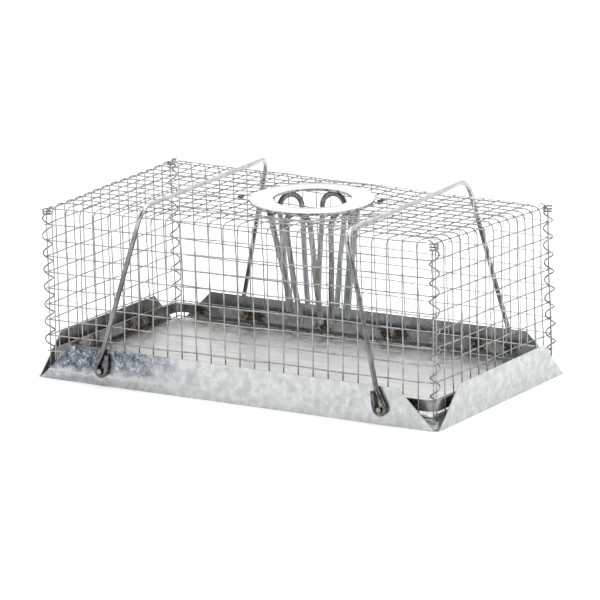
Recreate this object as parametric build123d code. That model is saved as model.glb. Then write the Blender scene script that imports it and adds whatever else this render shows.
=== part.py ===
from build123d import *
from math import acos, asin, atan2, cos, degrees, radians, sin, sqrt
import os

# Live catch trap: a welded wire cage on a folded sheet base, held down by two swinging bails.
# All sizes are in millimetres. X runs along the cage, Y across it, Z up.
# The origin is on the table, under the middle of the base.

# Sheet base
BASE_LENGTH = 350.0
BASE_WIDTH = 197.0
SHEET = 0.8
FLANGE_HEIGHT = 29.0
FLANGE_END_CUT = 33.0
FLANGE_FOOT_INSET = 2.5
BASE_CORNER_RADIUS = 3.0
PANEL_HEIGHT = 8.6
PANEL_LENGTH = 329.0
PANEL_WIDTH = 174.0
PANEL_CORNER_RADIUS = 7.0
END_SLOPE_RUN = 8.0
SIDE_SLOPE_RUN = 9.0
DRILL_OVERRUN = 1.0

# Welded mesh
CELL = 12.7
MESH_WIRE = 1.2
LAYER_GAP = 0.05
LAYER_STEP = MESH_WIRE + LAYER_GAP
OUTER_X = 168.9
OUTER_Y = 91.6
OUTER_Z = 136.2
INNER_X = OUTER_X - LAYER_STEP
INNER_Y = OUTER_Y - LAYER_STEP
INNER_Z = OUTER_Z - LAYER_STEP
OUTER_BEND = 6.25
INNER_BEND = OUTER_BEND - LAYER_STEP
HALF_BEND = radians(45)
BEND_Z = OUTER_Z - OUTER_BEND
FLAT_X = OUTER_X - OUTER_BEND
FLAT_Y = OUTER_Y - OUTER_BEND
LONG_WIRE_COUNT = 15
CROSS_WIRE_COUNT = 27
FIRST_CROSS_X = 167.5
FIRST_ROW_Z = 7.9
ROW_COUNT = 10
FOOT_GAP = 0.04
SIDE_ROW_REACH = 169.5
END_ROW_REACH = 89.65
EDGE_WIRE_REACH_X = 162.0
EDGE_WIRE_REACH_Y = 89.5

# Corner lacings
LACING_RADIUS = 4.1
LACING_X = 168.2
LACING_Y = 89.6
LACING_BOTTOM = 22.0
LACING_TOP = 130.4
LACING_CROSSING_ANGLE = 153.5

# Band inside the foot of the cage
BAND_LENGTH = 336.5
BAND_WIDTH = 179.4
BAND_BOTTOM = 12.0
BAND_TOP = 19.9
BAND_THICKNESS = 1.0
BAND_CORNER_RADIUS = 8.0

# Entry ring and funnel
RING_X = 8.75
RING_Y = 6.35
RING_OUTER_RADIUS = 47.4
RING_HOLE_RADIUS = 29.75
RING_THICKNESS = 2.0
RING_EDGE_ROUND = 0.4
MESH_CUT_RADIUS = 38.0
LOOP_WIRE = 3.8
LOOP_ANGLES = (36.0, 91.0, 152.0, 213.0, 281.0, 342.0)
LOOP_TOP_RADIUS = 33.5
LOOP_FOOT_RADII = (22.5, 22.5, 22.5, 18.0, 22.5, 22.5)
LOOP_ARCH_RADIUS = 9.9
LOOP_FOOT_HALF_GAP = 8.2
LOOP_FOOT_Z = 46.5
FUNNEL_TWIST = 9.6
FUNNEL_DRIFT = 2.5
FUNNEL_DRIFT_ANGLE = 31.0
REST_GAP = 0.02
TIE_WIRE = 0.9
TIE_RADIUS = 1.6
TIE_PITCH = 1.9
TIE_TURNS = 3.0
TIE_PLACES = ((-48.4, -4.2), (53.2, 31.75))

# Bails and the studs they turn on
BAIL_WIRE = 3.7
BAIL_SIDE_GAP = 0.25
BAIL_REACH = 131.8
BAIL_LEG_OFFSET = 1.95
BAIL_BEND = 11.0
EYE_HALF_WIDTH = 4.2
EYE_LIFT = 0.8
EYE_TOP = 14.4
EYE_NECK = 17.0
EYE_CUT_LEAN = 0.15
LEFT_STUD_X = -115.5
RIGHT_STUD_X = 128.0
STUD_Z = 12.0
STUD_RADIUS = 1.5
STUD_HEAD_RADIUS = 2.1
STUD_HEAD = 0.8
STUD_HEAD_GAP = 0.15
STUD_TAIL_RADIUS = 2.6
STUD_TAIL = 0.9


def slope_height(distance_out, run):
    """Top of the sheet on the slope around the raised panel, at a distance from the panel's edge."""
    return SHEET + (PANEL_HEIGHT - SHEET) * (1 - distance_out / run)


def side_foot_z():
    """Where the uprights of the long walls stand on the slope."""
    inner_edge = INNER_Y - MESH_WIRE / 2
    return slope_height(inner_edge - PANEL_WIDTH / 2, SIDE_SLOPE_RUN) + FOOT_GAP


def end_foot_z():
    """Where the uprights of the end walls stand on the slope."""
    inner_edge = OUTER_X - MESH_WIRE / 2
    return slope_height(inner_edge - PANEL_LENGTH / 2, END_SLOPE_RUN) + FOOT_GAP


def straight_wire(start, end, diameter):
    """A round wire between two points."""
    path = Line(start, end)
    return sweep(Plane(path @ 0, z_dir=path % 0) * Circle(diameter / 2), path=path)


def bent_wire(path, diameter):
    """A round wire along a smooth path."""
    return sweep(Plane(path @ 0, z_dir=path % 0) * Circle(diameter / 2), path=path)


def cross_wire_positions():
    """X of each wire that runs across the cage, from the right end."""
    return [FIRST_CROSS_X - CELL * index for index in range(CROSS_WIRE_COUNT)]


def long_wire_positions():
    """Y of each wire that runs along the cage."""
    middle = (LONG_WIRE_COUNT - 1) / 2
    return [CELL * (index - middle) for index in range(LONG_WIRE_COUNT)]


def row_heights():
    """Z of the level wires on the four walls, lowest first."""
    return [FIRST_ROW_Z + CELL * index for index in range(ROW_COUNT)]


def spans_around_hole(offset, center, reach):
    """The stretches of a roof wire on each side of the round hole under the ring."""
    if abs(offset) >= MESH_CUT_RADIUS:
        return [(-reach, reach)]
    half = sqrt(MESH_CUT_RADIUS ** 2 - offset ** 2)
    return [(-reach, center - half), (center + half, reach)]


def make_base_plate():
    """One sheet with a raised floor panel and four upright flanges with slanted ends."""
    foot = extrude(RectangleRounded(BASE_LENGTH, BASE_WIDTH, BASE_CORNER_RADIUS), SHEET)
    wide = RectangleRounded(
        PANEL_LENGTH + 2 * END_SLOPE_RUN, PANEL_WIDTH + 2 * SIDE_SLOPE_RUN, PANEL_CORNER_RADIUS
    )
    narrow = RectangleRounded(PANEL_LENGTH, PANEL_WIDTH, PANEL_CORNER_RADIUS)
    panel = loft([Pos(0, 0, SHEET) * wide, Pos(0, 0, PANEL_HEIGHT) * narrow])
    hollow = loft([wide, Pos(0, 0, PANEL_HEIGHT - SHEET) * narrow])
    plate = foot + panel - hollow
    for side in (-1, 1):
        plate += make_flange(BASE_LENGTH, BASE_WIDTH, 90 + 90 * side)
        plate += make_flange(BASE_WIDTH, BASE_LENGTH, 90 * side)
    for x in (LEFT_STUD_X, RIGHT_STUD_X):
        drill = Rot(90, 0, 0) * Cylinder(STUD_RADIUS, BASE_WIDTH + 2 * DRILL_OVERRUN)
        plate -= Pos(x, 0, STUD_Z) * drill
    return plate


def make_flange(length, depth, turn):
    """An upright flange along one edge of the base, its ends slanting in toward the top."""
    foot = length / 2 - FLANGE_FOOT_INSET
    top = length / 2 - FLANGE_END_CUT
    outline = Polyline((-foot, 0), (foot, 0), (top, FLANGE_HEIGHT), (-top, FLANGE_HEIGHT), close=True)
    face = Plane.XZ * make_face(outline)
    flange = Pos(0, -depth / 2 + SHEET, 0) * extrude(face, SHEET)
    return Rot(0, 0, turn) * flange


def make_pivot_studs():
    """Four rivets through the flanges, one for each bail eye."""
    studs = []
    inner_face = BASE_WIDTH / 2 - SHEET
    outer_face = BASE_WIDTH / 2
    eye_face = outer_face + BAIL_SIDE_GAP + BAIL_WIRE + STUD_HEAD_GAP
    shank = extrude(Plane.XY.offset(inner_face) * Circle(STUD_RADIUS), eye_face - inner_face)
    head = extrude(Plane.XY.offset(eye_face) * Circle(STUD_HEAD_RADIUS), STUD_HEAD)
    head = fillet(head.edges().sort_by(Axis.Z)[-1], STUD_HEAD / 2)
    tail = extrude(Plane.XY.offset(inner_face - STUD_TAIL) * Circle(STUD_TAIL_RADIUS), STUD_TAIL)
    tail = fillet(tail.edges().sort_by(Axis.Z)[0], STUD_TAIL / 2)
    stud = shank + head + tail
    for turn in (90, -90):
        for x in (LEFT_STUD_X, RIGHT_STUD_X):
            studs.append(Pos(x, 0, STUD_Z) * Rot(turn, 0, 0) * stud)
    return Compound(children=studs)


def make_top_mesh():
    """The flat roof of the cage, with its wires cut away under the entry ring."""
    wires = []
    for y in long_wire_positions()[1:-1]:
        for start, end in spans_around_hole(y - RING_Y, RING_X, FLAT_X):
            wires.append(straight_wire((start, y, OUTER_Z), (end, y, OUTER_Z), MESH_WIRE))
    for x in cross_wire_positions()[1:]:
        for start, end in spans_around_hole(x - RING_X, RING_Y, FLAT_Y):
            wires.append(straight_wire((x, start, INNER_Z), (x, end, INNER_Z), MESH_WIRE))
    return Compound(children=wires)


def make_side_mesh(side):
    """A long wall: uprights that bend over from the roof, and level wires outside them."""
    wires = []
    for index, x in enumerate(cross_wire_positions()):
        foot = (x, side * INNER_Y, side_foot_z())
        bend = (x, side * INNER_Y, BEND_Z)
        upright = Line(foot, bend)
        if index == 0:
            wires.append(bent_wire(upright, MESH_WIRE))
            continue
        crown = (x, side * FLAT_Y, INNER_Z)
        arc = TangentArc(bend, crown, tangent=(0, 0, 1))
        wires.append(bent_wire(Wire([upright, arc]), MESH_WIRE))
    for z in row_heights():
        start = (-SIDE_ROW_REACH, side * OUTER_Y, z)
        end = (SIDE_ROW_REACH, side * OUTER_Y, z)
        wires.append(straight_wire(start, end, MESH_WIRE))
    edge = OUTER_BEND * cos(HALF_BEND)
    edge_y = side * (FLAT_Y + edge)
    edge_z = BEND_Z + edge
    start = (-EDGE_WIRE_REACH_X, edge_y, edge_z)
    end = (EDGE_WIRE_REACH_X, edge_y, edge_z)
    wires.append(straight_wire(start, end, MESH_WIRE))
    return Compound(children=wires)


def make_end_mesh(side):
    """An end wall: uprights that bend over from the roof, and level wires inside them."""
    wires = []
    for y in long_wire_positions():
        foot = (side * OUTER_X, y, end_foot_z())
        bend = (side * OUTER_X, y, BEND_Z)
        crown = (side * FLAT_X, y, OUTER_Z)
        upright = Line(foot, bend)
        arc = TangentArc(bend, crown, tangent=(0, 0, 1))
        wires.append(bent_wire(Wire([upright, arc]), MESH_WIRE))
    for z in row_heights():
        start = (side * INNER_X, -END_ROW_REACH, z)
        end = (side * INNER_X, END_ROW_REACH, z)
        wires.append(straight_wire(start, end, MESH_WIRE))
    edge = INNER_BEND * cos(HALF_BEND)
    edge_x = side * (FLAT_X + edge)
    edge_z = BEND_Z + edge
    start = (edge_x, -EDGE_WIRE_REACH_Y, edge_z)
    end = (edge_x, EDGE_WIRE_REACH_Y, edge_z)
    wires.append(straight_wire(start, end, MESH_WIRE))
    return Compound(children=wires)


def make_lacing(x_side, y_side):
    """A spiral wire that laces two walls together along one corner."""
    middle_of_cell = FIRST_ROW_Z + CELL / 2
    turns_before = (middle_of_cell + CELL - LACING_BOTTOM) / CELL
    start_angle = LACING_CROSSING_ANGLE - 360 * turns_before
    path = Helix(CELL, LACING_TOP - LACING_BOTTOM, LACING_RADIUS)
    profile = Plane(path @ 0, z_dir=path % 0) * Circle(MESH_WIRE / 2)
    spiral = sweep(profile, path=path, is_frenet=True)
    spiral = Pos(LACING_X, -LACING_Y, LACING_BOTTOM) * Rot(0, 0, start_angle) * spiral
    if x_side < 0:
        spiral = mirror(spiral, Plane.YZ)
    if y_side > 0:
        spiral = mirror(spiral, Plane.XZ)
    return spiral


def make_bottom_band():
    """The flat hoop inside the foot of the cage walls."""
    outer = RectangleRounded(BAND_LENGTH, BAND_WIDTH, BAND_CORNER_RADIUS)
    inner = RectangleRounded(
        BAND_LENGTH - 2 * BAND_THICKNESS,
        BAND_WIDTH - 2 * BAND_THICKNESS,
        BAND_CORNER_RADIUS - BAND_THICKNESS,
    )
    return Pos(0, 0, BAND_BOTTOM) * extrude(outer - inner, BAND_TOP - BAND_BOTTOM)


def ring_underside():
    """Height of the ring's lower face, on top of the roof wires."""
    return OUTER_Z + MESH_WIRE / 2 + REST_GAP


def make_entry_ring():
    """The flat steel ring around the way in."""
    ring = extrude(Circle(RING_OUTER_RADIUS) - Circle(RING_HOLE_RADIUS), RING_THICKNESS)
    upper_edges = ring.edges().sort_by(Axis.Z)[-2:]
    ring = fillet(upper_edges, RING_EDGE_ROUND)
    return Pos(RING_X, RING_Y, ring_underside()) * ring


def make_funnel_loop(angle, foot_radius):
    """One hairpin of the funnel: an arch under the ring and two legs that close in below."""
    top_z = ring_underside() - REST_GAP - LOOP_WIRE / 2
    drop = top_z - LOOP_FOOT_Z
    drift = radians(FUNNEL_DRIFT_ANGLE - angle)
    twist = radians(FUNNEL_TWIST)
    inward = LOOP_TOP_RADIUS - foot_radius * cos(twist) - FUNNEL_DRIFT * cos(drift)
    sideways = foot_radius * sin(twist) + FUNNEL_DRIFT * sin(drift)
    length = sqrt(drop ** 2 + inward ** 2)
    lean = degrees(asin(inward / length))
    sway = degrees(asin(sideways / length))
    rise = length - LOOP_ARCH_RADIUS
    reach = sqrt(LOOP_FOOT_HALF_GAP ** 2 + rise ** 2)
    spread = asin(LOOP_ARCH_RADIUS / reach) - atan2(LOOP_FOOT_HALF_GAP, rise)
    touch_x = LOOP_ARCH_RADIUS * cos(spread)
    touch_y = -LOOP_ARCH_RADIUS - LOOP_ARCH_RADIUS * sin(spread)
    left_leg = Line((-LOOP_FOOT_HALF_GAP, -length), (-touch_x, touch_y))
    arch = ThreePointArc((-touch_x, touch_y), (0, 0), (touch_x, touch_y))
    right_leg = Line((touch_x, touch_y), (LOOP_FOOT_HALF_GAP, -length))
    path = Wire([left_leg, arch, right_leg])
    hairpin = Rot(90, 0, 0) * bent_wire(path, LOOP_WIRE)
    centred = Pos(0, 0, -LOOP_ARCH_RADIUS)
    hairpin = centred * Rot(0, -sway, 0) * centred.inverse() * hairpin
    hairpin = Rot(lean, 0, 0) * hairpin
    hairpin = Pos(0, -LOOP_TOP_RADIUS, top_z) * hairpin
    return Pos(RING_X, RING_Y, 0) * Rot(0, 0, angle + 90) * hairpin


def make_ring_ties():
    """Two short coils of thin wire on the roof, one on each side of the ring."""
    ties = []
    for x, y in TIE_PLACES:
        path = Helix(TIE_PITCH, TIE_PITCH * TIE_TURNS, TIE_RADIUS)
        profile = Plane(path @ 0, z_dir=path % 0) * Circle(TIE_WIRE / 2)
        coil = sweep(profile, path=path, is_frenet=True)
        coil = Pos(0, 0, -TIE_PITCH * TIE_TURNS / 2) * coil
        ties.append(Pos(x, y, INNER_Z) * Rot(90, 0, 0) * coil)
    return Compound(children=ties)


def bail_lean():
    """Angle by which a bail leans toward the middle when its bar lies on the roof."""
    bar_z = OUTER_Z + MESH_WIRE / 2 + REST_GAP + BAIL_WIRE / 2
    radius = sqrt(BAIL_REACH ** 2 + BAIL_LEG_OFFSET ** 2)
    from_upright = degrees(acos((bar_z - STUD_Z) / radius))
    return from_upright + degrees(atan2(BAIL_LEG_OFFSET, BAIL_REACH))


def make_bail_half():
    """Half of an upright bail, from the cut end of its eye to the middle of its bar."""
    leg_y = -(BASE_WIDTH / 2 + BAIL_SIDE_GAP + BAIL_WIRE / 2)
    cut_end = (-BAIL_LEG_OFFSET, leg_y, EYE_TOP)
    eye_left = (-EYE_HALF_WIDTH, leg_y, EYE_LIFT)
    eye_foot = (0, leg_y, EYE_LIFT - EYE_HALF_WIDTH)
    eye_right = (EYE_HALF_WIDTH, leg_y, EYE_LIFT)
    neck = (BAIL_LEG_OFFSET, leg_y, EYE_NECK)
    shoulder = (BAIL_LEG_OFFSET, leg_y, BAIL_REACH - BAIL_BEND)
    bar_start = (BAIL_LEG_OFFSET, leg_y + BAIL_BEND, BAIL_REACH)
    pieces = [
        Spline(cut_end, eye_left, tangents=[(-EYE_CUT_LEAN, 0, -1), (0, 0, -1)]),
        ThreePointArc(eye_left, eye_foot, eye_right),
        Spline(eye_right, neck, tangents=[(0, 0, 1), (0, 0, 1)]),
        Line(neck, shoulder),
        TangentArc(shoulder, bar_start, tangent=(0, 0, 1)),
        Line(bar_start, (BAIL_LEG_OFFSET, 0, BAIL_REACH)),
    ]
    return bent_wire(Wire(pieces), BAIL_WIRE)


def make_bail(stud_x):
    """A wire bail from one long flange over the roof to the other, leaning on the roof."""
    half = make_bail_half()
    bail = half + mirror(half, Plane.XZ)
    bail = Rot(0, -bail_lean(), 0) * bail
    if stud_x < 0:
        bail = mirror(bail, Plane.YZ)
    return Pos(stud_x, 0, STUD_Z) * bail


def make_all():
    """Every piece of the trap by name."""
    parts = {
        "base_plate": make_base_plate(),
        "pivot_studs": make_pivot_studs(),
        "left_bail": make_bail(LEFT_STUD_X),
        "right_bail": make_bail(RIGHT_STUD_X),
        "top_mesh": make_top_mesh(),
        "front_mesh": make_side_mesh(-1),
        "back_mesh": make_side_mesh(1),
        "left_end_mesh": make_end_mesh(-1),
        "right_end_mesh": make_end_mesh(1),
        "front_left_lacing": make_lacing(-1, -1),
        "front_right_lacing": make_lacing(1, -1),
        "back_left_lacing": make_lacing(-1, 1),
        "back_right_lacing": make_lacing(1, 1),
        "bottom_band": make_bottom_band(),
        "entry_ring": make_entry_ring(),
        "ring_ties": make_ring_ties(),
    }
    for number, (angle, foot_radius) in enumerate(zip(LOOP_ANGLES, LOOP_FOOT_RADII), start=1):
        parts[f"funnel_loop_{number}"] = make_funnel_loop(angle, foot_radius)
    return parts


os.makedirs("parts", exist_ok=True)
for name, shape in make_all().items():
    export_step(shape, f"parts/{name}.step")
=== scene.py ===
from math import asin, atan2, cos, pi, radians, sin, sqrt

import bpy
from mathutils import Matrix, Vector, noise


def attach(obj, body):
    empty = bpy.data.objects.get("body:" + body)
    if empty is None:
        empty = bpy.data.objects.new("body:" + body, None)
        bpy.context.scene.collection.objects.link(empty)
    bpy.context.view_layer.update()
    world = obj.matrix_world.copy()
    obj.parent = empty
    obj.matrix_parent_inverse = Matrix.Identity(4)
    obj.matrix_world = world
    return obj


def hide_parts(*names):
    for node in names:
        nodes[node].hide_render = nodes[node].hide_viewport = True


# Live catch trap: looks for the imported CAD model. Everything is in metres.

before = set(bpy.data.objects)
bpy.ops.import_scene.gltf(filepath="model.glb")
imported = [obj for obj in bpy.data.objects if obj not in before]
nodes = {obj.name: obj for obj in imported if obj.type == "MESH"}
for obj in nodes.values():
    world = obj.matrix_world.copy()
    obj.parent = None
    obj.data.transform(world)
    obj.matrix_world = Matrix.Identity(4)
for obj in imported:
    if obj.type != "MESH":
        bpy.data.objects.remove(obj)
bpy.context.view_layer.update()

# The camera and the floor
VIEW_AZIMUTH = radians(31.32)
VIEW_ELEVATION = radians(13.38)
VIEW_ROLL = radians(-0.89)
VIEW_DISTANCE = 3.298
VIEW_TARGET = Vector((0.0059, -0.0091, 0.0611))
SENSOR = 36.0
LENS = 261.888
FLOOR_REACH = 6.0

# Welded mesh: the CAD model's grid in a thinner wire, with the two layers pressed together at the welds
CELL = 0.0127
MESH_WIRE = 0.00102
LAYER_STEP = 0.00092
OUTER_X = 0.1689
OUTER_Y = 0.0916
OUTER_Z = 0.1362
OUTER_BEND = 0.00625
INNER_X = OUTER_X - LAYER_STEP
INNER_Y = OUTER_Y - LAYER_STEP
INNER_Z = OUTER_Z - LAYER_STEP
INNER_BEND = OUTER_BEND - LAYER_STEP
BEND_Z = OUTER_Z - OUTER_BEND
FLAT_X = OUTER_X - OUTER_BEND
FLAT_Y = OUTER_Y - OUTER_BEND
LONG_WIRE_COUNT = 15
CROSS_WIRE_COUNT = 27
ROW_COUNT = 10
FIRST_CROSS_X = 0.1675
FIRST_ROW_Z = 0.0079
SIDE_FOOT_Z = 0.0063
END_FOOT_Z = 0.0050
SIDE_ROW_REACH = 0.1695
END_ROW_REACH = 0.08965
EDGE_WIRE_REACH_X = 0.162
EDGE_WIRE_REACH_Y = 0.0895
MESH_CUT_RADIUS = 0.038
WIRE_STEP = 0.005
ARC_STEP = 0.0011
WELD_RADIUS = 0.00066
WELD_RINGS = 3
WELD_SIDES = 6
THICK_WIRE_SIDES = 16

# Lacings: coils a little smaller than the CAD model's. A lobe angle is on the viewer's left or right
LACING_X = 0.1682
LACING_Y = 0.0896
LACING_RADIUS = 0.0036
LACING_WIRE = 0.0012
LACING_PITCH = 0.01385
LACING_BOTTOM = 0.020
LACING_TOP = 0.1290
COLLAR_TOP = 0.1350
COLLAR_PITCH = 0.0021
POINTS_PER_TURN = 20
COLLAR_SHARE = 0.9
RADIUS_WOBBLE = 0.14
PITCH_WOBBLE = 0.25
WOBBLE_LENGTH = 0.012
LEFT_LOBE = 211.3
RIGHT_LOBE = 31.3

# Entry ring, funnel and ties; the loops' wire is thicker than the CAD model's
RING_CENTER = Vector((0.00875, 0.00635, 0.13682))
RING_OUTER_RADIUS = 0.0474
RING_HOLE_RADIUS = 0.02975
RING_THICKNESS = 0.002
RING_TILT = radians(2.0)
RING_DROP = 0.00145
RING_SEGMENTS = 128
RING_EDGE = 0.0004
LOOP_WIRE = 0.0043
LOOP_ANGLES = (36.0, 91.0, 152.0, 213.0, 281.0, 342.0)
LOOP_TOP_RADIUS = 0.0335
LOOP_FOOT_RADII = (0.0225, 0.0225, 0.0225, 0.018, 0.0225, 0.0225)
LOOP_ARCH_RADIUS = 0.0099
LOOP_FOOT_HALF_GAP = 0.0082
LOOP_FOOT_Z = 0.0465
LOOP_KINK = 0.0007
ARCH_STEPS = 24
FUNNEL_TWIST = 9.6
FUNNEL_DRIFT = 0.0025
FUNNEL_DRIFT_ANGLE = 31.0
TIE_WIRE = 0.0009
TIE_RADIUS = 0.0014
TIE_PITCH = 0.0019
TIE_TURNS = 3.0
TIE_PLACES = ((-0.0484, -0.0042), (0.0532, 0.03175))

# Bails
BAIL_WIRE = 0.0037
BAIL_LEG_Y = 0.1006
BAIL_LEG_OFFSET = 0.00195
BAIL_BEND = 0.011
EYE_HALF_WIDTH = 0.0042
EYE_LIFT = 0.0008
EYE_TOP = 0.0144
EYE_NECK = 0.017
EYE_STEPS = 12
BAIL_REACH = 0.1318
LEFT_STUD_X = -0.1155
RIGHT_STUD_X = 0.128
BAR_Z = 0.13869
STUD_Z = 0.012
BAIL_KINK = 0.0006

# How far the top of each bail leg is bent: toward +x, and upward
LEFT_FRONT_BEND = (0.0046, 0.0034)
LEFT_BACK_BEND = (-0.0098, 0.0032)
RIGHT_FRONT_BEND = (0.0098, 0.0032)
RIGHT_BACK_BEND = (-0.0018, 0.0022)

# Where tones change, from where the change starts to where it is complete
BAR_SHEEN_Z = (0.118, 0.139)
EYE_TONE_Z = (0.034, 0.022)
BACK_WASH_X = (-0.06, 0.07)
FUNNEL_BACK_Y = (0.006, 0.018)
SCORCH_Z = (0.116, 0.132)
FRONT_FACE_Y = (-0.0972, -0.0980)
BLOOM_AND_REFLECTION_X = (-0.035, -0.112)
BLOOM_AND_REFLECTION_UPPER_Z = (0.0075, 0.0125)
BLOOM_AND_REFLECTION_LOWER_Z = (0.0055, 0.0085)
FLOOR_FACE_Z = (0.0075, 0.0084)
PANEL_EDGE_X = (0.1640, 0.1650)
PANEL_EDGE_Y = (0.0865, 0.0875)
LEFT_SLOPE_X = (-0.160, -0.170)

# The sheet base: the inner faces of its flanges, and the crease low on their outside
FLANGE_INSIDE_X = 0.17435
FLANGE_INSIDE_Y = 0.09785
CREASE_Z = 0.0095
CREASE_HALF_WIDTH = 0.0016

BODY = "trap_body"


# ---------------------------------------------------------------- stage

def add_camera():
    """A long lens at the height and side of the viewer."""
    back = Vector((
        sin(VIEW_AZIMUTH) * cos(VIEW_ELEVATION),
        -cos(VIEW_AZIMUTH) * cos(VIEW_ELEVATION),
        sin(VIEW_ELEVATION),
    ))
    right = Vector((cos(VIEW_AZIMUTH), sin(VIEW_AZIMUTH), 0.0))
    up = back.cross(right)
    rolled_right = cos(VIEW_ROLL) * right + sin(VIEW_ROLL) * up
    rolled_up = -sin(VIEW_ROLL) * right + cos(VIEW_ROLL) * up
    turn = Matrix((rolled_right, rolled_up, back)).transposed().to_4x4()
    data = bpy.data.cameras.new("camera")
    data.lens = LENS
    data.sensor_width = SENSOR
    data.clip_end = 50.0
    camera = bpy.data.objects.new("camera", data)
    camera.matrix_world = Matrix.Translation(VIEW_TARGET + back * VIEW_DISTANCE) @ turn
    bpy.context.scene.collection.objects.link(camera)
    bpy.context.scene.camera = camera


def add_area_light(name, place, target, size, power):
    """A soft rectangular lamp that faces a target."""
    data = bpy.data.lights.new(name, "AREA")
    data.shape = "RECTANGLE"
    data.size, data.size_y = size
    data.energy = power
    lamp = bpy.data.objects.new(name, data)
    lamp.location = place
    aim = Vector(target) - Vector(place)
    lamp.rotation_euler = aim.to_track_quat("-Z", "Y").to_euler()
    bpy.context.scene.collection.objects.link(lamp)


def add_world():
    """A white tent that is open and darker on the viewer's side."""
    world = bpy.data.worlds.new("studio")
    world.use_nodes = True
    tree = world.node_tree
    direction = tree.nodes.new("ShaderNodeTexCoord").outputs["Generated"]
    opening = node(tree, "ShaderNodeVectorMath", operation="DOT_PRODUCT")
    tree.links.new(direction, opening.inputs[0])
    opening.inputs[1].default_value = (0.25, -0.95, 0.15)
    color = ramp(tree, opening.outputs["Value"], [
        (0.0, grey(1.0)), (0.42, grey(0.95)), (0.68, grey(0.38)), (0.86, grey(0.15)), (1.0, grey(0.09)),
    ])
    tree.links.new(color, tree.nodes["Background"].inputs["Color"])
    tree.nodes["Background"].inputs["Strength"].default_value = 1.2
    bpy.context.scene.world = world


def add_floor():
    """A plain pale floor."""
    mesh = bpy.data.meshes.new("floor")
    corners = [(x * FLOOR_REACH, y * FLOOR_REACH, 0.0) for x, y in ((-1, -1), (1, -1), (1, 1), (-1, 1))]
    mesh.from_pydata(corners, [], [(0, 1, 2, 3)])
    floor = bpy.data.objects.new("floor", mesh)
    bpy.context.scene.collection.objects.link(floor)
    material, tree, shader = new_material("floor")
    shader.inputs["Base Color"].default_value = (0.93, 0.93, 0.93, 1.0)
    shader.inputs["Roughness"].default_value = 0.9
    shader.inputs["Specular IOR Level"].default_value = 0.1
    shader.inputs["Emission Color"].default_value = (1.0, 1.0, 1.0, 1.0)
    shader.inputs["Emission Strength"].default_value = 0.25
    mesh.materials.append(material)


# ---------------------------------------------------------------- shader helpers

def new_material(name):
    """An empty principled material, its node tree and its shader."""
    material = bpy.data.materials.new(name)
    material.use_nodes = True
    tree = material.node_tree
    return material, tree, tree.nodes["Principled BSDF"]


def node(tree, kind, **values):
    """A shader node with its plain settings and unlinked inputs."""
    made = tree.nodes.new(kind)
    for key, value in values.items():
        name = key.replace("_", " ")
        if name in made.inputs:
            made.inputs[name].default_value = value
        else:
            setattr(made, key, value)
    return made


def ramp(tree, source, stops):
    """A colour ramp fed by source; stops are (position, colour)."""
    made = tree.nodes.new("ShaderNodeValToRGB")
    elements = made.color_ramp.elements
    while len(elements) < len(stops):
        elements.new(0.5)
    for element, (position, color) in zip(elements, stops):
        element.position = position
        element.color = (*color, 1.0)
    tree.links.new(source, made.inputs["Fac"])
    return made.outputs["Color"]


def remap(tree, source, low, high, to_low=0.0, to_high=1.0):
    """Source from low..high to to_low..to_high, clamped and smooth."""
    made = tree.nodes.new("ShaderNodeMapRange")
    made.interpolation_type = "SMOOTHSTEP"
    made.inputs["From Min"].default_value = low
    made.inputs["From Max"].default_value = high
    made.inputs["To Min"].default_value = to_low
    made.inputs["To Max"].default_value = to_high
    tree.links.new(source, made.inputs["Value"])
    return made.outputs["Result"]


def calc(tree, operation, first, second):
    """One arithmetic step on two sockets or numbers."""
    made = tree.nodes.new("ShaderNodeMath")
    made.operation = operation
    for index, value in enumerate((first, second)):
        if isinstance(value, (int, float)):
            made.inputs[index].default_value = value
        else:
            tree.links.new(value, made.inputs[index])
    return made.outputs["Value"]


def absolute(tree, value):
    """A socket's value without its sign."""
    return calc(tree, "ABSOLUTE", value, 0.0)


def mix(tree, factor, first, second):
    """A blend of two colours, each a socket or a plain colour."""
    made = tree.nodes.new("ShaderNodeMix")
    made.data_type = "RGBA"
    tree.links.new(factor, made.inputs["Factor"])
    for socket, value in ((made.inputs[6], first), (made.inputs[7], second)):
        if isinstance(value, tuple):
            socket.default_value = (*value, 1.0)
        else:
            tree.links.new(value, socket)
    return made.outputs[2]


def place_on(tree, scale=(1.0, 1.0, 1.0)):
    """Object-space coordinates, scaled."""
    place = tree.nodes.new("ShaderNodeTexCoord")
    mapping = tree.nodes.new("ShaderNodeMapping")
    mapping.inputs["Scale"].default_value = scale
    tree.links.new(place.outputs["Object"], mapping.inputs["Vector"])
    return mapping.outputs["Vector"]


def axes_of(tree, vector):
    """The x, y and z sockets of a vector."""
    made = tree.nodes.new("ShaderNodeSeparateXYZ")
    tree.links.new(vector, made.inputs["Vector"])
    return made.outputs["X"], made.outputs["Y"], made.outputs["Z"]


def noise_on(tree, vector, scale, detail=4.0, roughness=0.6, distortion=0.0):
    """Soft noise over a vector."""
    made = node(tree, "ShaderNodeTexNoise", Scale=scale, Detail=detail, Roughness=roughness)
    made.inputs["Distortion"].default_value = distortion
    tree.links.new(vector, made.inputs["Vector"])
    return made.outputs["Fac"]


def spots(tree, vector, centers, radius, fuzz):
    """1 near any of the centres and 0 away from them, with ragged edges."""
    ragged = noise_on(tree, vector, 420.0, detail=3.0)
    shift = remap(tree, ragged, 0.3, 0.7, -fuzz, fuzz)
    total = None
    for center in centers:
        away = node(tree, "ShaderNodeVectorMath", operation="DISTANCE")
        tree.links.new(vector, away.inputs[0])
        away.inputs[1].default_value = center
        shifted = calc(tree, "ADD", away.outputs["Value"], shift)
        near = remap(tree, shifted, radius * 0.6, radius, 1.0, 0.0)
        total = near if total is None else calc(tree, "MAXIMUM", total, near)
    return total


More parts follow.
